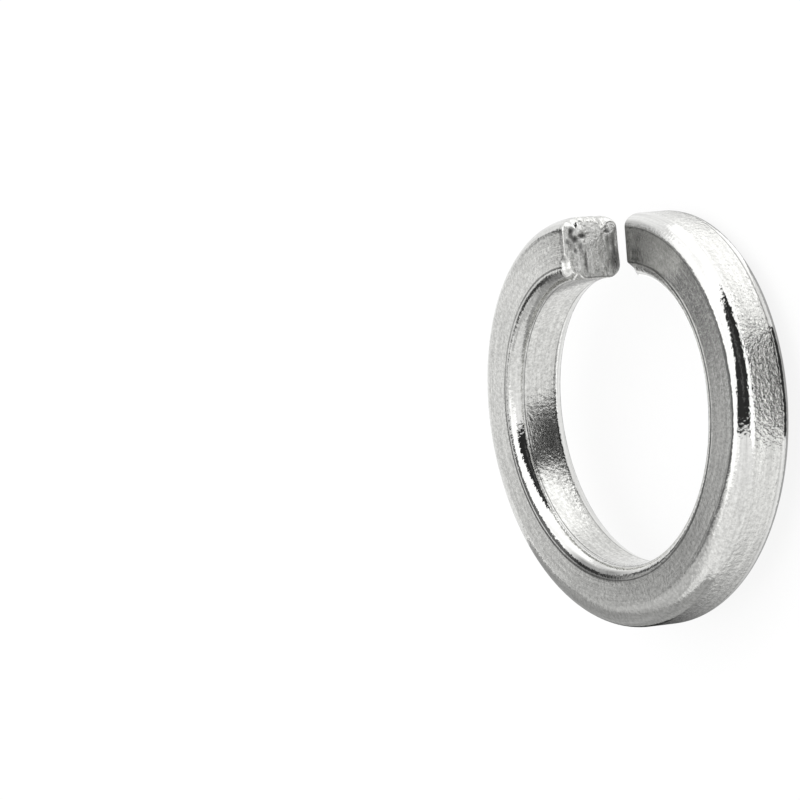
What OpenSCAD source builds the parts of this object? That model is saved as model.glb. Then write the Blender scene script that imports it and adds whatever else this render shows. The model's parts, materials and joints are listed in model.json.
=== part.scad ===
// Split spring lock washer: one turn of square wire with rounded long edges,
// wound into a left-hand coil so that its two sheared ends stand apart in height.
// Millimetres. The washer lies flat: its axis is Z, its lowest point is at Z = 0,
// and the split is centred on +X. The wire climbs clockwise, seen from above.

/* [Ring] */
// Diameter of the bore, which passes the screw
bore_d = 16.3; // [16.2:0.05:16.9]
// Width of the wire, from the bore to the outer rim
wire_w = 3.55; // [3:0.05:4]
// Thickness of the wire, along the axis
wire_t = 3.65; // [3.3:0.05:3.9]
// Radius of the wire's rounded long edges
edge_r = 0.8; // [0.3:0.05:1.2]

/* [Split] */
// Height between the two ends, measured over one whole turn
rise = 4.05; // [3.7:0.05:5]
// Width of the split between the two cut faces, at the middle of the wire
split_w = 0.42; // [0.4:0.02:1.5]
// How far the torn lip stands out of the high end, at its lower inner corner
lip = 0.3; // [0:0.02:0.3]

/* [Hidden] */

bore_r = bore_d / 2;
mid_r = bore_r + wire_w / 2;
outer_r = bore_r + wire_w;

// Half the angle that the split takes out of the turn
split_half = asin(split_w / 2 / mid_r);
turn = 360 - 2 * split_half;

// Angle between two sections of the coil, at most, and facets on each rounded edge
section_step = 3;
edge_steps = 4;
sections = ceil(turn / section_step);

// Each rounded edge stops this many degrees short of the wire's flank. The section
// then steps out past the flank, and the bore and the rim are cut true and round.
flank_stop = 15;
flank_over = 0.4;
bore_fn = 240;

// Height of the wire's centre halfway round the turn: the low end rests at Z = 0
mid_z = wire_t / 2 + rise * turn / 360 / 2;
// How far the cutting cylinders reach past the washer, above and below
cut_over = 1;

// One rounded edge as [radius, height] points about the section's centre, running
// from the flat face (side_z) to past the flank (side_r), each of them 1 or -1
function edge_points(side_r, side_z) =
    let (span = 90 - flank_stop)
    concat(
        [for (i = [0:edge_steps])
            let (a = 90 - i * span / edge_steps)
            [side_r * (wire_w / 2 - edge_r + edge_r * cos(a)),
             side_z * (wire_t / 2 - edge_r + edge_r * sin(a))]],
        [[side_r * (wire_w / 2 + flank_over), side_z * (wire_t / 2 - edge_r)]]);

function reversed(points) = [for (i = [len(points) - 1:-1:0]) points[i]];

// The wire's section, anticlockwise from the top of the bore side
section = concat(
    edge_points(-1, 1),
    reversed(edge_points(-1, -1)),
    edge_points(1, -1),
    reversed(edge_points(1, 1)));
corners = len(section);

// How far a point of the high end's face leans into the split
function lip_out(p) =
    lip * max(0, -p[0] / (wire_w / 2)) * max(0, -p[1] / (wire_t / 2));

// A section point at the angle a, anticlockwise from +X, moved along the wire by
// out towards the split
function coil_point(p, a, out) =
    let (r = mid_r + p[0])
    [r * cos(a) + out * sin(a),
     r * sin(a) - out * cos(a),
     mid_z + p[1] + rise * (0.5 - a / 360)];

function section_at(i) =
    let (a = split_half + i * turn / sections)
    [for (p = section) coil_point(p, a, i == 0 ? lip_out(p) : 0)];

module coil() {
    points = concat(
        [for (i = [0:sections]) each section_at(i)],
        [coil_point([0, 0], split_half, 0), coil_point([0, 0], 360 - split_half, 0)]);
    last = sections * corners;
    high_centre = last + corners;
    low_centre = high_centre + 1;
    sides = [for (i = [0:sections - 1], k = [0:corners - 1])
        let (n = (k + 1) % corners,
             a = i * corners + k, b = i * corners + n,
             c = a + corners, d = b + corners)
        each [[a, c, b], [b, c, d]]];
    high_face = [for (k = [0:corners - 1]) [high_centre, k, (k + 1) % corners]];
    low_face = [for (k = [0:corners - 1])
        [low_centre, last + (k + 1) % corners, last + k]];
    polyhedron(points = points, faces = concat(sides, high_face, low_face), convexity = 6);
}

// A cylinder on the axis that passes right through the washer
module through_cylinder(r) {
    translate([0, 0, -cut_over])
        cylinder(r = r, h = 2 * (mid_z + cut_over), $fn = bore_fn);
}

module washer() {
    color("silver")
        difference() {
            intersection() {
                coil();
                through_cylinder(outer_r);
            }
            through_cylinder(bore_r);
        }
}

washer();
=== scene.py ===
"""A split spring lock washer of bright steel wire, finished around its CAD frame."""

import json
import math

import bpy
import numpy as np
from bpy.props import FloatProperty, FloatVectorProperty, PointerProperty
from mathutils import Matrix, Vector, noise


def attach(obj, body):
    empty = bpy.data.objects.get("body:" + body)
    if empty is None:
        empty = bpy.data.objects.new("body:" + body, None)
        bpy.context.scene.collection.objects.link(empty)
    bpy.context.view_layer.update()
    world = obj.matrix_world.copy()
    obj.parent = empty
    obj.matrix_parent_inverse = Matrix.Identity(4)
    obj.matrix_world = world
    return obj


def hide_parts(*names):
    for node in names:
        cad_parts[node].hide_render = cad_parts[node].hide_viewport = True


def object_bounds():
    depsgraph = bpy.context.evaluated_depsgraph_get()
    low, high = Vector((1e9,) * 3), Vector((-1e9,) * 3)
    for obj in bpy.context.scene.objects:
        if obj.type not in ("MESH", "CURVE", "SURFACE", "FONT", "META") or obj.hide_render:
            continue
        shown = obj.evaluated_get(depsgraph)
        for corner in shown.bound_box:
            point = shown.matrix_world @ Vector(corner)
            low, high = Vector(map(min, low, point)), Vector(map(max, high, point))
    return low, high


bl_info = {
    "name": "Spring Lock Washer",
    "version": (1, 0, 0),
    "blender": (4, 5, 0),
    "location": "View3D > Sidebar > Lock Washer",
    "description": "Builds a split spring lock washer of bright steel wire and its stage",
    "category": "Add Mesh",
}

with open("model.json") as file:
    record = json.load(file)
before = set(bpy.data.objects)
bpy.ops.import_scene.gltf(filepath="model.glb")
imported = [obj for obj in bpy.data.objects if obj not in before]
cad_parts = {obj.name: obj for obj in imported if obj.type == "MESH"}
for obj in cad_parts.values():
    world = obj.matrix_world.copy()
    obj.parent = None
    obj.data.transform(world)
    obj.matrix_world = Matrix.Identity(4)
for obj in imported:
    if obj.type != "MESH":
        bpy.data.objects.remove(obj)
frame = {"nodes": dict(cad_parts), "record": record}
cad_low, cad_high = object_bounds()

MM = 0.001

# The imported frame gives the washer's outer radius, height and bore
OUTER_RADIUS = (cad_high.y - cad_low.y) / 2
OVERALL_HEIGHT = cad_high.z - cad_low.z
BORE_RADIUS = next(
    m["dims"]["r_mm"] for m in frame["record"]["mounts"] if m["name"] == "bore"
) * MM
# Half the wire's width between them
HALF_WIDTH = (OUTER_RADIUS - BORE_RADIUS) / 2


def linear(hex_colour):
    """A linear RGB triple from an sRGB hex string."""
    parts = [int(hex_colour[i:i + 2], 16) / 255 for i in (1, 3, 5)]
    return tuple(c / 12.92 if c <= 0.04045 else ((c + 0.055) / 1.055) ** 2.4 for c in parts)


def length(name, description, millimetres):
    """A length property, whose default is given in millimetres."""
    return FloatProperty(
        name=name, description=description, default=millimetres * MM,
        min=0.0, precision=5, subtype="DISTANCE", unit="LENGTH",
    )


def angle(name, description, degrees):
    """An angle property, whose default is given in degrees."""
    return FloatProperty(
        name=name, description=description, default=math.radians(degrees),
        subtype="ANGLE", unit="ROTATION",
    )


def colour(name, description, hex_colour):
    """A colour property, whose default is an sRGB hex string."""
    return FloatVectorProperty(
        name=name, description=description, default=linear(hex_colour),
        size=3, min=0.0, max=1.0, subtype="COLOR",
    )


class WasherWire(bpy.types.PropertyGroup):
    """Sizes and colours of the coiled wire."""

    thickness: length("Wire thickness", "Height of the wire along the washer's axis", 3.65)
    edge_radius: length("Edge radius", "Radius of the wire's rounded long edges", 0.8)
    crown: length("Crown", "How far the upper outer edge's rounding reaches down the rim", 1.12)
    crown_inset: length("Crown inset", "How far that rounding reaches over the face", 0.78)
    crown_worn: length("Worn crown inset", "The same where tumbling wore the edge softer", 1.35)
    split: length("Split", "Width of the split at the middle of the wire", 0.42)
    lip: length("Lip", "How far the torn high end stands out towards the split", 0.3)
    low_lip: length("Low lip", "How far the low end's outer edge stands out", 0.12)
    roll: length("Sheared roll", "How far the blade rolled the high end's outer edge", 0.42)
    chip: length("Chipped corner", "Length of the broken corner of the high end", 0.55)
    low_chip: length("Low chip", "Length of the broken corner of the low end", 1.3)
    break_edge: length("Edge break", "Rounding of every other edge of the cut ends", 0.05)
    tear: length("Tear depth", "Depth of the torn ridges on the high end", 0.05)
    steel: colour("Steel", "Bright drawn steel of the rounded edges", "#F3F3F1")
    steel_satin: colour("Satin steel", "Tumbled steel of the four flats", "#F6F6F3")
    steel_torn: colour("Torn steel", "Freshly sheared steel of the cut ends", "#DEDEDC")


class WasherStage(bpy.types.PropertyGroup):
    """The camera's place and the floor's colour."""

    view_tilt: angle("View tilt", "Angle between the washer's axis and the camera", 56.7)
    view_turn: angle("View turn", "How far the camera stands towards the split", 2.3)
    view_roll: angle("View roll", "Turn of the camera about its own axis", -4.05)
    view_distance: length("View distance", "From the camera to the washer's middle", 283)
    floor: colour("Floor", "Matt white floor", "#FAFAFA")


def report_missing(what):
    """Stops the script with a plain message."""
    raise RuntimeError(f"The washer can't be finished: {what}")


# The wire's section

# Steps round the section: along a flat, round an edge, and across half a die line
FLAT_STEPS = 16
CORNER_STEPS = 14
GROOVE_STEPS = 2
# The drawing die leaves a fine line where each rounded edge meets a flat
DIE_LINE_WIDTH = 0.11 * MM
DIE_LINE_DEPTH = 0.014 * MM
# How softly the polish of the rounded edges runs out onto the flats
POLISH_FADE = 0.10 * MM
# Strength of the tumbled grain on the rounded edges and on the flat after each corner: the
# upper face, the rim, the lower face and the bore
EDGE_GRAIN = 0.2
FLAT_GRAIN = (0.06, 1.35, 0.3, 0.15)


def wire_outline(wire, crown_inset):
    """The section's points, normals, polish, grain, die lines and distance round it."""
    half_t = wire.thickness / 2
    r = wire.edge_radius
    # Corners as [side outwards, side upwards, start angle, reach outwards, reach upwards,
    # strength of the die line before the corner and after it]
    corners = [(-1, 1, 180, r, r, 0.5, 1.4), (1, 1, 90, crown_inset, wire.crown, 0.3, 0.0),
               (1, -1, 0, r, r, 0.6, 0.5), (-1, -1, -90, r, r, 0.5, 0.3)]
    reach = DIE_LINE_WIDTH / 2
    points, normals, grooves, polish, grain = [], [], [], [], []

    def add(x, y, nx, ny, from_join, line, shine, flat):
        """Adds a point that lies from_join away from where its edge meets a flat."""
        size = math.hypot(nx, ny)
        points.append((x, y))
        normals.append((nx / size, ny / size))
        grooves.append(max(0.0, 1 - from_join / reach) * line)
        polish.append(shine)
        grain.append(FLAT_GRAIN[flat] + (EDGE_GRAIN - FLAT_GRAIN[flat]) * shine)

    for index, (side_x, side_y, start, rx, ry, line_in, line_out) in enumerate(corners):
        cx, cy = side_x * (HALF_WIDTH - rx), side_y * (half_t - ry)
        groove_turn = math.degrees(reach / r)
        turns = [i * groove_turn / GROOVE_STEPS for i in range(GROOVE_STEPS)]
        step = (90 - 2 * groove_turn) / CORNER_STEPS
        turns = (turns + [groove_turn + i * step for i in range(CORNER_STEPS + 1)]
                 + [90 - t for t in reversed(turns)])
        for turn in turns[:-1]:
            a = math.radians(start - turn)
            from_join = math.radians(min(turn, 90 - turn)) * r
            add(cx + rx * math.cos(a), cy + ry * math.sin(a),
                math.cos(a) / rx, math.sin(a) / ry, from_join,
                line_in if turn < 45 else line_out, min(1.0, from_join / POLISH_FADE),
                index if turn > 45 else (index + 3) % 4)
        a = math.radians(start - 90)
        begin = (cx + rx * math.cos(a), cy + ry * math.sin(a))
        next_x, next_y, _, next_rx, next_ry, next_line, _ = corners[(index + 1) % 4]
        end = (next_x * (HALF_WIDTH - next_rx) + next_rx * math.cos(a),
               next_y * (half_t - next_ry) + next_ry * math.sin(a))
        run = math.dist(begin, end)
        edges = [i * reach / GROOVE_STEPS for i in range(GROOVE_STEPS)]
        inner = [reach + i * (run - 2 * reach) / FLAT_STEPS for i in range(FLAT_STEPS + 1)]
        for along in (edges + inner + [run - e for e in reversed(edges)])[:-1]:
            part = along / run
            add(begin[0] + (end[0] - begin[0]) * part, begin[1] + (end[1] - begin[1]) * part,
                math.cos(a), math.sin(a), min(along, run - along),
                line_out if part < 0.5 else next_line, 0.0, index)

    points, normals = np.array(points), np.array(normals)
    steps = np.linalg.norm(np.roll(points, -1, axis=0) - points, axis=1)
    distance = np.concatenate([[0.0], np.cumsum(steps)])
    grooves = np.array(grooves)
    # Each die line is a groove with soft sides
    dips = DIE_LINE_DEPTH * grooves ** 2 * (3 - 2 * grooves)
    sizes = [np.array(polish), np.array(grain), grooves, distance]
    return points - normals * dips[:, None], normals, *sizes


# The cut ends

# How far from a cut end its lip runs out
LIP_FADE = 1.2 * MM
# The high end's lip away from its lower inner corner, as a share of the lip at that corner
LIP_LEAST = 0.6
# How far the sheared roll reaches, as [place across the end in mm, share], lower face first
ROLL_PROFILE = ((-1.8, 0.5), (-1.3, 1.0), (-1.0, 1.5), (-0.75, 1.4), (-0.5, 0.9), (0.0, 0.65),
                (0.5, 0.65), (0.8, 1.0), (1.2, 1.4), (1.6, 1.1), (1.8, 0.9))
# Where the roll sets in and is full, across the wire, and the burr of the upper edge, upwards
ROLL_START = (0.72, 1.0)
BURR_START = (0.9, 1.0)
# Noise over the section, as layers [size across, size upwards in mm, layer's place, strength]:
# the raggedness of the roll and the burr, and the relief and speckle of the torn face
ROLL_RAGGED = ((0.30, 0.30, 3.0, 0.35), (0.11, 0.11, 9.0, 0.15))
BURR_RAGGED = ((0.11, 0.11, 9.0, 2.0),)
TORN_RELIEF = ((1.3, 0.22, 1.0, 0.5), (0.55, 0.5, 5.0, 0.9), (0.12, 0.1, 7.0, 0.45))
TORN_SPECKLE = ((0.24, 0.2, 11.0, 0.45), (0.1, 0.09, 13.0, 0.5))
# The low end's relief as a share of the high end's, sunk where that one stands out
LOW_END_RELIEF = -0.35
# The share of the half wire over which the relief runs out at the end's edge
TORN_EDGE = 0.12
# A broken corner lies on the side that these shares, outwards and upwards, point to. Then where
# it starts on the high and on the low end, the run over which it sets in, and its depth as a
# share of its length along the wire
CHIP_SIDE = (-0.6, 0.75)
CHIP_START = 0.83
LOW_CHIP_START = 1.07
CHIP_RUN = 1 / 6
CHIP_DEPTH = 0.6
LOW_CHIP_DEPTH = 0.32
# Marks of the tear on the high end, in millimetres: [place outwards and upwards, half size
# outwards and upwards, height of the relief, tone]
# Tones under 1 are painted shade, in the tear's hollows and at its inner edge
TORN_MARKS = (
    (1.00, 1.22, 0.16, 0.16, -0.05, 0.3), (0.72, 1.28, 0.26, 0.20, -0.04, 0.42),
    (0.50, 1.02, 0.22, 0.22, -0.06, 0.25), (0.69, 0.55, 0.15, 0.28, -0.05, 0.25),
    (0.40, 1.55, 0.20, 0.14, -0.03, 0.5), (-0.14, 1.05, 0.16, 0.13, -0.03, 0.4),
    (0.15, 1.30, 0.30, 0.25, -0.03, 0.7), (0.15, 0.75, 0.25, 0.20, -0.03, 0.7),
    (1.02, 0.72, 0.20, 0.20, 0.06, 1.4), (-0.85, 0.37, 0.80, 0.09, -0.03, 0.5),
    (-0.7, -1.55, 0.75, 0.34, -0.02, 0.45), (0.3, -1.35, 0.30, 0.30, -0.03, 0.7),
    (1.25, -0.04, 0.14, 0.14, 0.03, 1.3), (1.0, -0.31, 0.16, 0.14, 0.03, 1.3),
    (0.75, -0.58, 0.16, 0.14, 0.03, 1.3), (0.83, -1.15, 0.12, 0.22, -0.05, 0.35),
    (-0.2, 0.65, 0.40, 0.13, -0.02, 0.65), (-1.72, 0.0, 0.08, 1.60, 0.0, 0.5),
    (-0.6, -0.25, 0.60, 0.36, 0.02, 1.25), (-0.9, 0.75, 0.5, 0.18, 0.02, 1.2),
)
# How strongly those tones show, the torn face's tone without them, and its brightest
MARK_CONTRAST = 1.5
TORN_PLAIN = 1.18
TORN_BRIGHTEST = 1.3
# Rings of points from the edge of a cut end to its middle, and how they crowd to the edge
CAP_RINGS = 32
CAP_CROWDING = 1.15


def share(value, start, full):
    """How far a value has come from start to full, held between 0 and 1."""
    return np.clip((value - start) / (full - start), 0, 1)


def fade(gap, reach):
    """What is left, from 1 to 0, at a distance from where something is full."""
    return max(0.0, 1 - gap / reach)


def layered_noise(x, y, layers):
    """Smooth noise at a point of the section, as the sum of its layers."""
    return sum(strength * noise.noise(Vector((x / (across * MM), y / (upwards * MM), place)))
               for across, upwards, place, strength in layers)


def corner_share(points, start):
    """How much each point of the section belongs to the upper inner corner, from 0 to 1."""
    x, y = (points / np.abs(points).max(axis=0)).T
    return share(CHIP_SIDE[0] * x + CHIP_SIDE[1] * y, start, start + CHIP_RUN)


def edge_break(wire, points, high_end):
    """How far the rounding of a cut end's edge reaches, for each point of the section."""
    reach = np.full(len(points), wire.break_edge)
    if not high_end:
        return reach
    places, shares = np.array(ROLL_PROFILE).T
    for i, (x, y) in enumerate(points):
        across, upwards = x / HALF_WIDTH, y / (wire.thickness / 2)
        rolled = share(across, *ROLL_START) * np.interp(y / MM, places, shares)
        burred = share(upwards, *BURR_START) * share(across, 0, 1)
        reach[i] += wire.roll * rolled * (1 + layered_noise(x, y, ROLL_RAGGED))
        reach[i] += wire.break_edge * burred * (1 + layered_noise(x, y, BURR_RAGGED))
    return reach


def lip_height(wire, x, y, high_end):
    """How far a cut end stands out towards the split at a point of the section."""
    across, upwards = x / HALF_WIDTH, y / (wire.thickness / 2)
    if high_end:
        lower_inner = max(0.0, -across) * max(0.0, -upwards)
        return wire.lip * (LIP_LEAST + (1 - LIP_LEAST) * lower_inner)
    return -wire.low_lip * (1 + across) / 2


def torn_height(wire, x, y):
    """Relief of the high end's torn face, outwards along the wire."""
    rough = wire.tear * layered_noise(x, y, TORN_RELIEF)
    rough += sum(height * MM * mark_share(x, y, mark) for *mark, height, _ in TORN_MARKS)
    from_edge = 1 - max(abs(x) / HALF_WIDTH, abs(y) / (wire.thickness / 2))
    return rough * share(from_edge, 0, TORN_EDGE)


def torn_tone(x, y):
    """How bright the high end's torn face is at a point, as a share of the torn steel's, with
    painted shade in its hollows.
    """
    tone = TORN_PLAIN + layered_noise(x, y, TORN_SPECKLE)
    for *mark, _, level in TORN_MARKS:
        tone *= 1 + (level ** MARK_CONTRAST - 1) * mark_share(x, y, mark)
    return min(tone, TORN_BRIGHTEST)


def mark_share(x, y, mark):
    """How much of a torn mark shows at a point, fading out from its middle."""
    mid_x, mid_y, half_x, half_y = mark
    away = ((x / MM - mid_x) / half_x) ** 2 + ((y / MM - mid_y) / half_y) ** 2
    return math.exp(-away ** 2)


def cut_end(wire, points, high_end):
    """For each point of the section at a cut end: the edge's rounding, the lip and the chip.

    The chip's depth, as a share of its length, comes last.
    """
    size, start, depth = ((wire.chip, CHIP_START, CHIP_DEPTH) if high_end
                          else (wire.low_chip, LOW_CHIP_START, LOW_CHIP_DEPTH))
    lip = np.array([lip_height(wire, x, y, high_end) for x, y in points])
    return edge_break(wire, points, high_end), lip, size * corner_share(points, start), depth


def end_face(wire, high_end, turn, outline, edge, start):
    """The face of a cut end, as vertices, faces, UVs in millimetres and tones.

    Its outermost ring is the coil's own, which starts at vertex edge. The new vertices, ring
    after ring to the one in the middle, start at vertex start.
    """
    count = len(outline)
    rings = [outline * (1 - s) for s in (np.arange(CAP_RINGS) / CAP_RINGS) ** CAP_CROWDING]
    vertices, tones, faces, uvs = [], [], [], []
    for ring in rings[1:]:
        rise = np.array([torn_height(wire, x, y) for x, y in ring])
        rise *= 1.0 if high_end else LOW_END_RELIEF
        rise += [lip_height(wire, x, y, high_end) for x, y in ring]
        vertices.append(on_coil(wire, turn, ring, rise))
        tones.append([torn_tone(x, y) if high_end else 1.0 for x, y in ring])
    middle_lip = lip_height(wire, 0.0, 0.0, high_end)
    vertices.append(on_coil(wire, turn, np.zeros((1, 2)), middle_lip))
    tones.append([1.0])
    bases = [edge] + [start + j * count for j in range(len(rings) - 1)]
    centre = bases[-1] + count
    for j, base in enumerate(bases):
        for k in range(count):
            n = (k + 1) % count
            face, flat = [base + k, base + n], [rings[j][k], rings[j][n]]
            if j + 1 < len(bases):
                face += [bases[j + 1] + n, bases[j + 1] + k]
                flat += [rings[j + 1][n], rings[j + 1][k]]
            else:
                face.append(centre)
                flat.append((0.0, 0.0))
            if high_end:
                face, flat = face[::-1], flat[::-1]
            faces.append(face)
            uvs += [(x / MM, y / MM) for x, y in flat]
    return vertices, faces, uvs, tones


# The coil

# Sections along the coil, and the closer ones beside each cut end, in millimetres from it
SECTIONS = 400
END_SPACING = (0.0, 0.012, 0.03, 0.055, 0.09, 0.13, 0.18, 0.24, 0.31, 0.4, 0.52, 0.68)
# The next tables hold [degrees along the coil from the split, amounts there]. First, how much
# of the darkening in the outer edge's line is taken off, and how much tumbling wore off the
# polish of either upper edge
OUTER_LINE_DARKENING_LOSS = ((0, 266, 285, 360), (0.9, 0.9, 0.0, 0.0))
OUTER_POLISH_LOSS = ((0, 40, 246, 266, 360), (0.3, 0.85, 0.85, 0.0, 0.0))
INNER_POLISH_LOSS = ((0, 72, 90, 360), (0.85, 0.85, 0.0, 0.0))
# How far the worn crown takes the sharper one's place
CROWN_WEAR = ((0, 20, 110, 238, 266, 360), (0.0, 0.0, 1.0, 1.0, 0.0, 0.0))
# How dark a band of painted shade lies beside the inner edge
INNER_SHADE_BAND = ((0, 145, 157, 176, 192, 360), (0.0, 0.0, 0.72, 0.72, 0.0, 0.0))
# Where that band sets in and is full, as the section's normal leans upwards and inwards
BAND_UPWARDS = (0.72, 0.845)
BAND_INWARDS = (0.0, 1 / 12)
# The wire's outer and inner half are told apart over this distance from its middle
SIDE_FADE = OUTER_RADIUS / 20
# Where the upper face sets in and is full, as shares of the thickness above the wire's middle
FACE_START = (0.45, 0.5)
# A dark line in that face behind the high end's burr: [distance from the end, half width,
# strength]
BURR_LINE = (0.24 * MM, 0.16 * MM, 0.4)
# Painted shade on that face towards the low end, as [strength, reach]: beside the split, and
# further out, where it is full over the first part of its reach
SPLIT_PAINTED_SHADE = (0.2, 0.7 * MM)
LOW_END_PAINTED_SHADE = (0.58, 7 * MM)
LOW_END_PAINTED_SHADE_RISE = 1.6
# and how much deeper its grain grows there
LOW_END_GRAIN = (5, 5 * MM)
# How much brighter the broken corners are
CHIP_BRIGHTER = 0.15


def coil_sizes(wire):
    """Middle radius, half the split's angle, rise over a turn and middle height."""
    mid_radius = (OUTER_RADIUS + BORE_RADIUS) / 2
    half_split = math.asin(wire.split / 2 / mid_radius)
    rise = (OVERALL_HEIGHT - wire.thickness) / (1 - half_split / math.pi)
    return mid_radius, half_split, rise, OVERALL_HEIGHT / 2


def on_coil(wire, turn, outline, towards_split):
    """Places section points on the coil at the angle turn.

    towards_split moves a point along the wire, against the growing angle.
    """
    mid_radius, _, rise, middle = coil_sizes(wire)
    r = mid_radius + outline[:, 0]
    x = r * math.cos(turn) + towards_split * math.sin(turn)
    y = r * math.sin(turn) - towards_split * math.cos(turn)
    z = middle + outline[:, 1] + rise * (0.5 - turn / (2 * math.pi))
    return np.stack([x, y, z], axis=-1)


def section_turns(wire):
    """The angles of all sections along the coil, from the high end to the low end."""
    mid_radius, half_split, _, _ = coil_sizes(wire)
    near = np.array(END_SPACING) * MM / mid_radius
    first, last = half_split, 2 * math.pi - half_split
    middle = np.linspace(first + near[-1], last - near[-1], SECTIONS)[1:-1]
    return np.concatenate([first + near, middle, (last - near)[::-1]])


def build_coil(wire):
    """The washer's vertices, faces, materials, UVs in millimetres and shading values."""
    points, normals, polish, grain, lines, distance = wire_outline(wire, wire.crown_inset)
    worn_points, worn_normals = wire_outline(wire, wire.crown_worn)[:2]
    mid_radius = coil_sizes(wire)[0]
    turns = section_turns(wire)
    count = len(points)
    ends = [cut_end(wire, points, high_end) for high_end in (True, False)]
    outer = share(points[:, 0], 0, SIDE_FADE)
    inner = share(-points[:, 0], 0, SIDE_FADE)
    on_face = share(points[:, 1] / wire.thickness, *FACE_START)
    in_band = share(normals[:, 1], *BAND_UPWARDS) * share(-normals[:, 0], *BAND_INWARDS)
    vertices = []
    values = {"polish": [], "grain": [], "die_line": [], "tone": []}
    for turn in turns:
        degrees = math.degrees(turn)
        to_high, to_low = (turn - turns[0]) * mid_radius, (turns[-1] - turn) * mid_radius
        inset, lips, chipped = np.zeros(count), np.zeros(count), np.zeros(count, bool)
        for (reach, lip, chip, depth), gap in zip(ends, (to_high, to_low)):
            left = np.clip(1 - gap / reach, 0, 1)
            inset += reach * (1 - np.sqrt(1 - left ** 2)) + depth * np.maximum(0, chip - gap)
            lips += lip * fade(gap, LIP_FADE)
            chipped |= chip > gap
        wear = np.interp(degrees, *CROWN_WEAR)
        section = points + (worn_points - points) * wear
        section -= (normals + (worn_normals - normals) * wear) * inset[:, None]
        row = on_coil(wire, turn, section, lips)
        # The lips stay inside the CAD model's box
        row[:, 0] = np.minimum(row[:, 0], cad_high.x)
        vertices.append(row)

        place, half_width, strength = BURR_LINE
        shade = strength * fade(abs(to_high - place), half_width)
        # Painted shade on the upper face towards the low end
        strength, reach = SPLIT_PAINTED_SHADE
        shade += strength * fade(to_low, reach)
        strength, reach = LOW_END_PAINTED_SHADE
        shade += strength * min(1.0, LOW_END_PAINTED_SHADE_RISE * fade(to_low, reach))
        tone = (1 - shade * on_face) * (1 + CHIP_BRIGHTER * chipped)
        # A band of painted shade along the inner edge
        values["tone"].append(tone * (1 - np.interp(degrees, *INNER_SHADE_BAND) * in_band))
        strength, reach = LOW_END_GRAIN
        values["grain"].append(grain * (1 + strength * fade(to_low, reach) * on_face))
        # How much of the die line's darkening stays on the outer edge
        kept_line_darkening = 1 - outer * np.interp(degrees, *OUTER_LINE_DARKENING_LOSS)
        values["die_line"].append(lines * kept_line_darkening * ~chipped)
        worn = (outer * np.interp(degrees, *OUTER_POLISH_LOSS)
                + inner * np.interp(degrees, *INNER_POLISH_LOSS))
        values["polish"].append(polish * (1 - worn * (points[:, 1] > 0)))

    faces, uvs = [], []
    for i, (along, next_along) in enumerate(zip(turns * mid_radius / MM,
                                                turns[1:] * mid_radius / MM)):
        base, next_base = i * count, (i + 1) * count
        for k in range(count):
            n = (k + 1) % count
            faces.append((base + k, base + n, next_base + n, next_base + k))
            low, high = distance[k] / MM, distance[k + 1] / MM
            uvs += [(along, low), (along, high), (next_along, high), (next_along, low)]
    materials = [0] * len(faces)
    total = len(turns) * count
    places = ((True, turns[0], 0), (False, turns[-1], total - count))
    for (high_end, turn, edge), (reach, _, chip, depth) in zip(places, ends):
        outline = points - normals * (reach + chip * depth)[:, None]
        end_vertices, end_faces, end_uvs, tones = end_face(
            wire, high_end, turn, outline, edge, total)
        vertices += end_vertices
        faces += end_faces
        uvs += end_uvs
        added = sum(len(part) for part in end_vertices)
        for name in ("polish", "grain", "die_line"):
            values[name].append(np.zeros(added))
        values["tone"] += tones
        total += added
    materials += [1] * (len(faces) - len(materials))
    values = {name: np.concatenate(parts) for name, parts in values.items()}
    return np.concatenate(vertices), faces, materials, uvs, values


# Materials

# From this polish on an edge is a true mirror, and shows the cards that are meant for it alone
MIRROR_POLISH = 0.95


def add_node(tree, kind, settings=None, links=None):
    """Adds a node, sets its properties or sockets, and links its sockets to outputs."""
    node = tree.nodes.new(kind)
    for key, value in (settings or {}).items():
        if isinstance(key, str) and hasattr(node, key):
            setattr(node, key, value)
        else:
            node.inputs[key].default_value = value
    for key, source in (links or {}).items():
        tree.links.new(source, node.inputs[key])
    return node


def new_material(name):
    """An empty node material and its output node."""
    material = bpy.data.materials.new(name)
    material.use_nodes = True
    tree = material.node_tree
    tree.nodes.clear()
    return material, tree, tree.nodes.new("ShaderNodeOutputMaterial")


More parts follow.
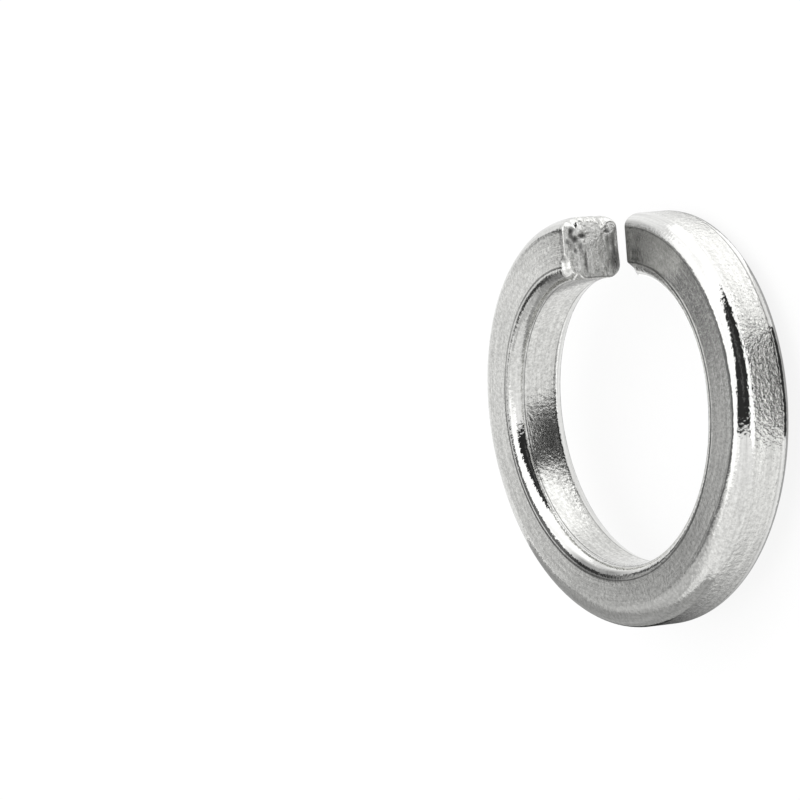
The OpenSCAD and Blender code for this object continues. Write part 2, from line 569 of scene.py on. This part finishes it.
def drawn_steel(wire):
    """Spring steel wire, drawn, coiled and tumbled bright.

    The rounded edges keep the die's polish and mirror the room in sharp streaks. The four
    flats are satin: a fine tumbled grain over faint lines that run along the wire.
    """
    material, tree, output = new_material("spring_steel_drawn_tumbled")
    uv = add_node(tree, "ShaderNodeUVMap", {"uv_map": "wire_mm"}).outputs["UV"]
    position = add_node(tree, "ShaderNodeTexCoord").outputs["Object"]
    polish, relief, line, tone = (
        add_node(tree, "ShaderNodeAttribute", {"attribute_name": name}).outputs["Fac"]
        for name in ("polish", "grain", "die_line", "tone"))

    # Die lines: about 12 to the millimetre across the wire, some millimetres long
    stretched = add_node(tree, "ShaderNodeMapping", {"Scale": (0.35, 12.0, 1.0)},
                         {"Vector": uv}).outputs["Vector"]
    lines = add_node(tree, "ShaderNodeTexNoise",
                     {"Scale": 1.0, "Detail": 3.0, "Roughness": 0.6},
                     {"Vector": stretched}).outputs["Fac"]
    # Wider streaks, about 3 to the millimetre, that follow the coil
    wide = add_node(tree, "ShaderNodeMapping", {"Scale": (0.16, 3.2, 1.0)},
                    {"Vector": uv}).outputs["Vector"]
    arcs = add_node(tree, "ShaderNodeTexNoise",
                    {"Scale": 1.0, "Detail": 2.0, "Roughness": 0.7},
                    {"Vector": wide}).outputs["Fac"]
    grain, specks, cloud = (
        add_node(tree, "ShaderNodeTexNoise",
                 {"Scale": 1 / (size * MM), "Detail": detail, "Roughness": rough},
                 {"Vector": position}).outputs["Fac"]
        for size, detail, rough in (
            # Tumbled grain: shallow dents of about 0.2 mm
            (0.22, 2.0, 0.55),
            # Specks of about 0.2 mm where the tumbling stones left the metal a little duller
            (0.19, 3.0, 0.7),
            # Slow change of the finish over 2 mm or so
            (2.2, 2.0, 0.5),
        ))

    satin_base, mirror, darkened_lines, darkening_cloud, flat_specks, streaked, line_strength = (
        add_node(tree, "ShaderNodeMapRange",
                 {"From Min": low, "From Max": high, "To Min": at_low, "To Max": at_high},
                 {"Value": value}).outputs["Result"]
        for value, low, high, at_low, at_high in (
            # The flats' roughness, less where the grain is deep
            (relief, 0.0, 1.0, 0.14, 0.06),
            # How far the polish makes a mirror
            (polish, 0.0, MIRROR_POLISH, 0.0, 1.0),
            # Darkening in the die lines, and how unevenly it lies there
            (line, 0.0, 0.3, 0.0, 0.65),
            (cloud, 0.3, 0.6, 0.6, 1.0),
            # The tone of the flats' darkest specks, darker where the grain is shallow
            (relief, 0.2, 1.3, 0.66, 0.74),
            # The tone of the wider streaks
            (arcs, 0.35, 0.65, 0.8, 1.0),
            # How strongly the die lines stand out, less on the polished edges
            (polish, 0.0, 1.0, 1.0, 0.3),
        ))
    satin = add_node(tree, "ShaderNodeMath", {"operation": "MULTIPLY_ADD", 1: 0.05},
                     {0: grain, 2: satin_base}).outputs["Value"]
    roughness = add_node(tree, "ShaderNodeMix", {"data_type": "FLOAT", 3: 0.0},
                         {"Factor": mirror, 2: satin}).outputs[0]
    tint = add_node(tree, "ShaderNodeMix",
                    {"data_type": "RGBA", 6: (*wire.steel_satin, 1.0), 7: (*wire.steel, 1.0)},
                    {"Factor": polish}).outputs[2]
    # How dark the die lines make the tone
    line_darkness = add_node(tree, "ShaderNodeMath", {"operation": "MULTIPLY"},
                    {0: darkened_lines, 1: darkening_cloud}).outputs["Value"]
    line_tone = add_node(tree, "ShaderNodeMapRange", {"To Min": 1.0, "To Max": 0.0},
                     {"Value": line_darkness}).outputs["Result"]
    # The polished edges hardly show the specks
    darkest = add_node(tree, "ShaderNodeMix", {"data_type": "FLOAT", 3: 0.92},
                       {"Factor": polish, 2: flat_specks}).outputs[0]
    dull = add_node(tree, "ShaderNodeMapRange",
                    {"From Min": 0.35, "From Max": 0.65, "To Max": 1.0},
                    {"Value": specks, "To Min": darkest}).outputs["Result"]
    for factor in (streaked, tone, line_tone):
        dull = add_node(tree, "ShaderNodeMath", {"operation": "MULTIPLY"},
                        {0: dull, 1: factor}).outputs["Value"]
    shade = add_node(tree, "ShaderNodeMix",
                     {"data_type": "RGBA", "blend_type": "MULTIPLY", 0: 1.0},
                     {6: tint, 7: dull}).outputs[2]

    line_bump = add_node(tree, "ShaderNodeBump", {"Distance": 0.004 * MM},
                         {"Height": lines, "Strength": line_strength}).outputs["Normal"]
    grain_bump = add_node(tree, "ShaderNodeBump", {"Distance": 0.09 * MM},
                          {"Height": grain, "Strength": relief,
                           "Normal": line_bump}).outputs["Normal"]
    shader = add_node(tree, "ShaderNodeBsdfPrincipled", {"Metallic": 1.0},
                      {"Base Color": shade, "Roughness": roughness, "Normal": grain_bump})
    tree.links.new(shader.outputs["BSDF"], output.inputs["Surface"])
    return material


def sheared_steel(wire):
    """Spring steel cut off by a shear blade.

    The torn metal is grey and grainy, with streaks along the blade's travel.
    """
    material, tree, output = new_material("spring_steel_sheared")
    uv = add_node(tree, "ShaderNodeUVMap", {"uv_map": "wire_mm"}).outputs["UV"]
    tone = add_node(tree, "ShaderNodeAttribute", {"attribute_name": "tone"}).outputs["Fac"]
    # Blade streaks: about 4 to the millimetre, under a millimetre long
    stretched = add_node(tree, "ShaderNodeMapping", {"Scale": (1.3, 4.0, 1.0)},
                         {"Vector": uv}).outputs["Vector"]
    streaks = add_node(tree, "ShaderNodeTexNoise",
                       {"Scale": 1.0, "Detail": 4.0, "Roughness": 0.65},
                       {"Vector": stretched}).outputs["Fac"]
    # Torn grain of about 0.1 mm
    grain = add_node(tree, "ShaderNodeTexNoise",
                     {"Scale": 8.0, "Detail": 3.0, "Roughness": 0.6},
                     {"Vector": uv}).outputs["Fac"]
    roughness, streak_tone, grain_tone = (
        add_node(tree, "ShaderNodeMapRange",
                 {"From Min": 0.3, "From Max": 0.7, "To Min": at_low, "To Max": at_high},
                 {"Value": value}).outputs["Result"]
        for value, at_low, at_high in (
            (streaks, 0.22, 0.42), (streaks, 0.76, 1.0), (grain, 0.76, 1.0)))
    dull = streak_tone
    for factor in (grain_tone, tone):
        dull = add_node(tree, "ShaderNodeMath", {"operation": "MULTIPLY"},
                        {0: dull, 1: factor}).outputs["Value"]
    shade = add_node(tree, "ShaderNodeMix",
                     {"data_type": "RGBA", "blend_type": "MULTIPLY", 0: 1.0,
                      6: (*wire.steel_torn, 1.0)}, {7: dull}).outputs[2]
    streak_bump = add_node(tree, "ShaderNodeBump", {"Distance": 0.04 * MM},
                           {"Height": streaks}).outputs["Normal"]
    grain_bump = add_node(tree, "ShaderNodeBump", {"Distance": 0.04 * MM},
                          {"Height": grain, "Normal": streak_bump}).outputs["Normal"]
    shader = add_node(tree, "ShaderNodeBsdfPrincipled", {"Metallic": 1.0},
                      {"Base Color": shade, "Roughness": roughness, "Normal": grain_bump})
    tree.links.new(shader.outputs["BSDF"], output.inputs["Surface"])
    return material


class WASHER_OT_coil(bpy.types.Operator):
    """Build the washer: one coiled turn of steel wire with two sheared ends"""

    bl_idname = "washer.coil"
    bl_label = "Build Washer"

    def execute(self, context):
        wire = context.scene.washer_wire
        if "washer" not in frame["nodes"]:
            report_missing("the frame has no washer")
        vertices, faces, materials, uvs, values = build_coil(wire)
        mesh = bpy.data.meshes.new("lock_washer")
        mesh.from_pydata(vertices.tolist(), [], faces)
        mesh.materials.append(drawn_steel(wire))
        mesh.materials.append(sheared_steel(wire))
        mesh.polygons.foreach_set("material_index", materials)
        mesh.uv_layers.new(name="wire_mm").data.foreach_set("uv", np.ravel(uvs))
        for name, amounts in values.items():
            mesh.attributes.new(name, "FLOAT", "POINT").data.foreach_set("value", amounts)
        mesh.shade_smooth()
        if mesh.validate():
            report_missing("its mesh has faults")
        piece = bpy.data.objects.new("lock_washer", mesh)
        context.scene.collection.objects.link(piece)
        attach(piece, "root")
        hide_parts("washer")
        return {"FINISHED"}


# The stage

# Where the washer's middle stands in the 800 pixel picture, and its outer radius there
PICTURE_SIZE = 800
PICTURE_X = 633.7
PICTURE_Y = 420.1
PICTURE_RADIUS = 206.5
# The camera sees from and to these distances, in metres
CAMERA_REACH = (0.01, 10)
# How far the floor reaches to each side, in millimetres
FLOOR_REACH = 3000
# The part of the floor's tone that glows to the camera and to the steel, so that it stays
# white there. To the camera the rest is lit, and takes the shadow
FLOOR_GLOW = 0.82
STEEL_FLOOR_GLOW = 0.85
# Brightness of the sky and of the floor's glow to the steel, and of the sky as a light
WORLD_SEEN = 0.93
WORLD_LIGHT = 1.0
# Corners of a round card
ROUND_STEPS = 48


def round_card(radius, x=0.0, y=0.0):
    """Places round a circle on the table, in millimetres."""
    turns = [i * 2 * math.pi / ROUND_STEPS for i in range(ROUND_STEPS)]
    return [(x + radius * math.cos(a), y + radius * math.sin(a)) for a in turns]


# Cards as [name, brightness, corners in millimetres]: the standing ones
STANDING_CARDS = (
    ("card_camera_side", 0.03,
     [(-26, -310, 0), (640, -310, 0), (640, -310, 130), (500, -310, 218), (300, -310, 290),
      (110, -310, 360), (60, -310, 410), (-26, -310, 410)]),
    ("card_behind", 0.57,
     [(110, 250, 158), (110, 250, 225), (-50, 250, 225), (-29, 250, 190), (-9, 250, 158)]),
    ("card_behind_far", 0.74,
     [(-27, 249, 158), (-27, 249, 240), (-58, 249, 240), (-58, 249, 158)]),
    ("card_behind_low", 0.1,
     [(110, 249, 100), (110, 249, 172), (18, 249, 172), (5, 249, 152), (11, 249, 136),
      (12, 249, 100)]),
    ("card_behind_low_side", 0.06,
     [(-66, 250, 110), (-66, 250, 265), (-190, 250, 345), (-190, 250, 130)]),
    ("card_low_side_far", 0.25,
     [(-85, 251, 0), (-85, 251, 130), (-330, 251, 215), (-330, 251, 0)]),
    ("card_camera_side_above", 0.03,
     [(-38, -310, 290), (230, -310, 290), (180, -251, 290), (75, -180, 290), (16, -120, 290),
      (-14, -120, 290)]),
    ("card_camera_side_shelf", 0.09,
     [(60, -309, 70), (500, -309, 70), (500, -309, 110), (60, -309, 130)]),
    ("card_behind_above", 0.15,
     [(110, 250, 225), (80, 90, 290), (-30, 90, 290), (-50, 250, 225)]),
    # Grey cards close to the low side: painted shadow of the table beside it, seen in the steel
    ("card_low_side_near", 0.6, [(-13, 25, 21), (-60, 25, 17), (-70, 25, 85), (-13, 25, 60)]),
    ("card_low_side_near_foot", 0.36,
     [(-13, 25, 5), (-60, 25, 5), (-60, 25, 17), (-13, 25, 21)]),
    ("card_low_side_wall", 0.4, [(-19, -8, 0), (-20, 7, 0), (-20, 7, 15), (-19, -8, 8)]),
    ("card_low_side_corner", 0.4, [(-20, 7, 0), (-10, 24, 0), (-10, 24, 12), (-20, 7, 15)]),
)
# Cards that only the mirror-bright edges show, so that the satin flats stay pale all round
EDGE_CARDS = ("card_camera_side", "card_camera_side_above", "card_camera_side_shelf")
# The cards that lie on the table, as [name, brightness, places on the table]
TABLE_CARDS = (
    # Painted shadow under the washer, where the table lies in its shade
    ("card_under_washer", 0.42, round_card(11.9)),
    ("card_bore_table", 0.93, round_card(10.2)),
    ("card_table_camera_side", 0.03,
     [(-8, -41), (7, -41), (8.5, -31), (13, -23), (21, -13.5), (560, -300), (-26, -309)]),
    ("card_table_streak", 1.38,
     [(-5, -18), (3.4, -18.3), (9.5, -16), (13, -23), (8.5, -31), (7, -41), (-6, -41)]),
    # Painted shadow: a dark strip along the rim's foot, where the washer meets the table
    ("card_rim_foot", 0.03,
     [(-1.5, -11.8), (-1.6, -12.9), (2.4, -13.0), (6, -11.8), (5.4, -10.6), (2, -11.75)]),
    ("card_rim_near", 0.62,
     [(-1.2, -12.9), (-1.3, -14.3), (2.6, -14.4), (6.4, -13.0), (6, -11.8), (2.4, -13.0)]),
    ("card_rim_far", 0.02,
     [(6.4, -13.0), (2.6, -14.4), (-1.3, -14.3), (-1.7, -18), (3.4, -18.3), (9.3, -16),
      (8, -13.8)]),
    ("card_in_bore", 0.03,
     [(-0.4, 5.2), (-0.8, 2.3), (-1.5, -0.2), (-1.2, -1.2), (1.6, -1.6), (2.6, -5),
      (1.8, -8.5), (6.5, -6), (5, -2.2), (2.3, 0.5), (1.2, 2), (0.2, 4.6)]),
    ("card_bore_low_side", 1.38,
     [(0.2, 4.8), (1.25, 2.2), (2.4, 0.7), (5, -1.8), (8, 2), (6.5, 6.2), (0.2, 6.2)]),
    ("card_split_side_table", 1.38,
     [(7.6, -12.5), (11, -16), (13, -20), (21, -13.4), (560, -300), (560, 310), (13, -2),
      (9, -7)]),
)
# A round card of painted shadow, whose tone grows from its middle: [place, radius and tone
# inside, and outside]
GRADED_CARD = ((-16, 7), (3, 0.02), (20, 0.93))
# Height of the table's cards, each a little above the one before it
CARD_LIFT = 0.01
# Soft lamps as [name, centre, size, the way it faces, radiance]
SOFTBOXES = (
    ("softbox_overhead", (290, -25, 300), (620, 850), (0, 0, -1), 0.45),
    ("softbox_overhead_low_side", (-60, -70, 300), (80, 320), (0, 0, -1), 0.45),
    ("softbox_split_side", (600, 0, 150), (640, 300), (-1, 0, 0), 0.45),
)


def add_camera(stage):
    """The camera at the photograph's angle, aimed so that the washer stands in its place."""
    tilt, turn, roll = stage.view_tilt, stage.view_turn, stage.view_roll
    back = Vector((math.sin(turn), -math.sin(tilt) * math.cos(turn),
                   math.cos(tilt) * math.cos(turn)))
    right = (-back).cross(Vector((1, 0, 0))).normalized()
    up = right.cross(-back)
    across = right * math.cos(roll) + up * math.sin(roll)
    above = up * math.cos(roll) - right * math.sin(roll)
    facing = Matrix((across, above, back)).transposed()
    focal = PICTURE_RADIUS * stage.view_distance / OUTER_RADIUS
    half = PICTURE_SIZE / 2
    place = Vector((PICTURE_X - half, half - PICTURE_Y, -focal))
    aim = place.rotation_difference(Vector((0, 0, -1)))
    data = bpy.data.cameras.new("camera")
    data.lens = focal / PICTURE_SIZE * data.sensor_width
    data.clip_start, data.clip_end = CAMERA_REACH
    camera = bpy.data.objects.new("camera", data)
    camera.matrix_world = (
        Matrix.Translation(Vector((0, 0, OVERALL_HEIGHT / 2)) + back * stage.view_distance)
        @ (facing @ aim.to_matrix()).to_4x4()
    )
    bpy.context.scene.collection.objects.link(camera)
    bpy.context.scene.camera = camera


def add_floor(stage):
    """A wide matt floor that stays white to the camera and the steel, and keeps the shadow."""
    material, tree, output = new_material("painted_floor_matt_white")
    path = add_node(tree, "ShaderNodeLightPath").outputs
    matt = add_node(tree, "ShaderNodeBsdfDiffuse",
                    {"Color": (*stage.floor, 1.0)}).outputs["BSDF"]
    glow = add_node(tree, "ShaderNodeEmission", {},
                    {"Strength": brightness_seen(tree, path)}).outputs["Emission"]
    seen = add_node(tree, "ShaderNodeMix", {"data_type": "FLOAT", 3: FLOOR_GLOW},
                    {"Factor": path["Is Camera Ray"],
                     2: any_ray(tree, path, STEEL_FLOOR_GLOW)}).outputs[0]
    surface = add_node(tree, "ShaderNodeMixShader", {}, {0: seen, 1: matt, 2: glow})
    tree.links.new(surface.outputs["Shader"], output.inputs["Surface"])
    r = FLOOR_REACH
    add_sheet("floor", [(-r, -r, 0), (r, -r, 0), (r, r, 0), (-r, r, 0)], material)


def brightness_seen(tree, path):
    """White for camera rays, and a little less for every other ray."""
    return add_node(tree, "ShaderNodeMapRange", {"To Min": WORLD_SEEN, "To Max": 1.0},
                    {"Value": path["Is Camera Ray"]}).outputs["Result"]


def any_ray(tree, path, level):
    """The level for camera, glossy and transmission rays, nought for every other ray."""
    first = add_node(tree, "ShaderNodeMath", {"operation": "MAXIMUM"},
                     {0: path["Is Camera Ray"], 1: path["Is Glossy Ray"]}).outputs["Value"]
    either = add_node(tree, "ShaderNodeMath", {"operation": "MAXIMUM"},
                      {0: first, 1: path["Is Transmission Ray"]}).outputs["Value"]
    return add_node(tree, "ShaderNodeMapRange", {"To Max": level},
                    {"Value": either}).outputs["Result"]


def add_sheet(name, corners, material):
    """A flat stage sheet through the given corners, in millimetres."""
    mesh = bpy.data.meshes.new(name)
    mesh.from_pydata([Vector(c) * MM for c in corners], [], [tuple(range(len(corners)))])
    mesh.materials.append(material)
    sheet = bpy.data.objects.new(name, mesh)
    bpy.context.scene.collection.objects.link(sheet)
    return sheet


def add_cards():
    """Matt cards that only the bright steel sees, as a photographer sets them round it. Some
    are painted shadow.
    """
    cards = list(STANDING_CARDS)
    for index, (name, level, places) in enumerate(TABLE_CARDS):
        cards.append((name, level, [(x, y, (index + 1) * CARD_LIFT) for x, y in places]))
    for name, level, corners in cards:
        material, tree, output = new_material(name)
        tone = add_node(tree, "ShaderNodeEmission", {"Strength": level}).outputs["Emission"]
        # Only a mirror without any roughness sends out singular rays
        if name in EDGE_CARDS:
            mirrored = add_node(tree, "ShaderNodeLightPath").outputs["Is Singular Ray"]
            clear = add_node(tree, "ShaderNodeBsdfTransparent").outputs["BSDF"]
            tone = add_node(tree, "ShaderNodeMixShader", {},
                            {0: mirrored, 1: clear, 2: tone}).outputs["Shader"]
        tree.links.new(tone, output.inputs["Surface"])
        show_to_steel_only(add_sheet(name, corners, material))


def show_to_steel_only(card):
    """Hides a card from the camera and from the floor's light."""
    card.visible_camera = False
    card.visible_diffuse = False
    card.visible_shadow = False


def add_graded_card():
    """A round card of painted shadow beside the washer's low side, dark in its middle and white
    at its edge.
    """
    (x, y), (inner, dark), (outer, pale) = GRADED_CARD
    material, tree, output = new_material("card_graded")
    place = add_node(tree, "ShaderNodeTexCoord").outputs["Object"]
    away = add_node(tree, "ShaderNodeVectorMath",
                    {"operation": "DISTANCE", 1: (x * MM, y * MM, 0)},
                    {0: place}).outputs["Value"]
    strength = add_node(tree, "ShaderNodeMapRange",
                        {"From Min": inner * MM, "From Max": outer * MM,
                         "To Min": dark, "To Max": pale}, {"Value": away}).outputs["Result"]
    tone = add_node(tree, "ShaderNodeEmission", {}, {"Strength": strength})
    tree.links.new(tone.outputs["Emission"], output.inputs["Surface"])
    corners = [(*corner, CARD_LIFT / 2) for corner in round_card(outer, x, y)]
    show_to_steel_only(add_sheet("card_graded", corners, material))


def add_softbox(name, centre, size, facing, radiance):
    """A soft lamp at centre that faces the given way, in millimetres."""
    data = bpy.data.lights.new(name, "AREA")
    data.shape = "RECTANGLE"
    data.size, data.size_y = size[0] * MM, size[1] * MM
    # A flat lamp spreads its power over half a sphere, by the cosine of the angle
    data.energy = radiance * math.pi * data.size * data.size_y
    lamp = bpy.data.objects.new(name, data)
    aim = Vector(facing).to_track_quat("-Z", "Y").to_matrix()
    lamp.matrix_world = Matrix.Translation(Vector(centre) * MM) @ aim.to_4x4()
    bpy.context.scene.collection.objects.link(lamp)


class WASHER_OT_stage(bpy.types.Operator):
    """Set up the floor, the soft light, the cards and the camera"""

    bl_idname = "washer.stage"
    bl_label = "Set Up Stage"

    def execute(self, context):
        stage = context.scene.washer_stage
        context.scene.view_settings.view_transform = "Standard"
        add_camera(stage)
        add_floor(stage)
        add_cards()
        add_graded_card()
        for softbox in SOFTBOXES:
            add_softbox(*softbox)
        world = bpy.data.worlds.new("studio")
        world.use_nodes = True
        tree = world.node_tree
        path = add_node(tree, "ShaderNodeLightPath").outputs
        strength = add_node(tree, "ShaderNodeMix", {"data_type": "FLOAT", 2: WORLD_LIGHT},
                            {"Factor": any_ray(tree, path, 1.0),
                             3: brightness_seen(tree, path)}).outputs[0]
        background = tree.nodes["Background"]
        background.inputs["Color"].default_value = (1, 1, 1, 1)
        tree.links.new(strength, background.inputs["Strength"])
        context.scene.world = world
        return {"FINISHED"}


class WASHER_PT_panel(bpy.types.Panel):
    """The washer's sizes, colours and steps"""

    bl_idname = "WASHER_PT_panel"
    bl_label = "Lock Washer"
    bl_space_type = "VIEW_3D"
    bl_region_type = "UI"
    bl_category = "Lock Washer"

    def draw(self, context):
        layout = self.layout
        for group in (context.scene.washer_wire, context.scene.washer_stage):
            box = layout.box()
            for name in group.__annotations__:
                box.prop(group, name)
        for step in (WASHER_OT_coil, WASHER_OT_stage):
            layout.operator(step.bl_idname)


CLASSES = (WasherWire, WasherStage, WASHER_OT_coil, WASHER_OT_stage, WASHER_PT_panel)


def register():
    for cls in CLASSES:
        bpy.utils.register_class(cls)
    bpy.types.Scene.washer_wire = PointerProperty(type=WasherWire)
    bpy.types.Scene.washer_stage = PointerProperty(type=WasherStage)


def unregister():
    del bpy.types.Scene.washer_stage
    del bpy.types.Scene.washer_wire
    for cls in reversed(CLASSES):
        bpy.utils.unregister_class(cls)


def main():
    """Builds the washer and its stage."""
    register()
    bpy.ops.washer.coil()
    bpy.ops.washer.stage()


if __name__ == "__main__":
    main()
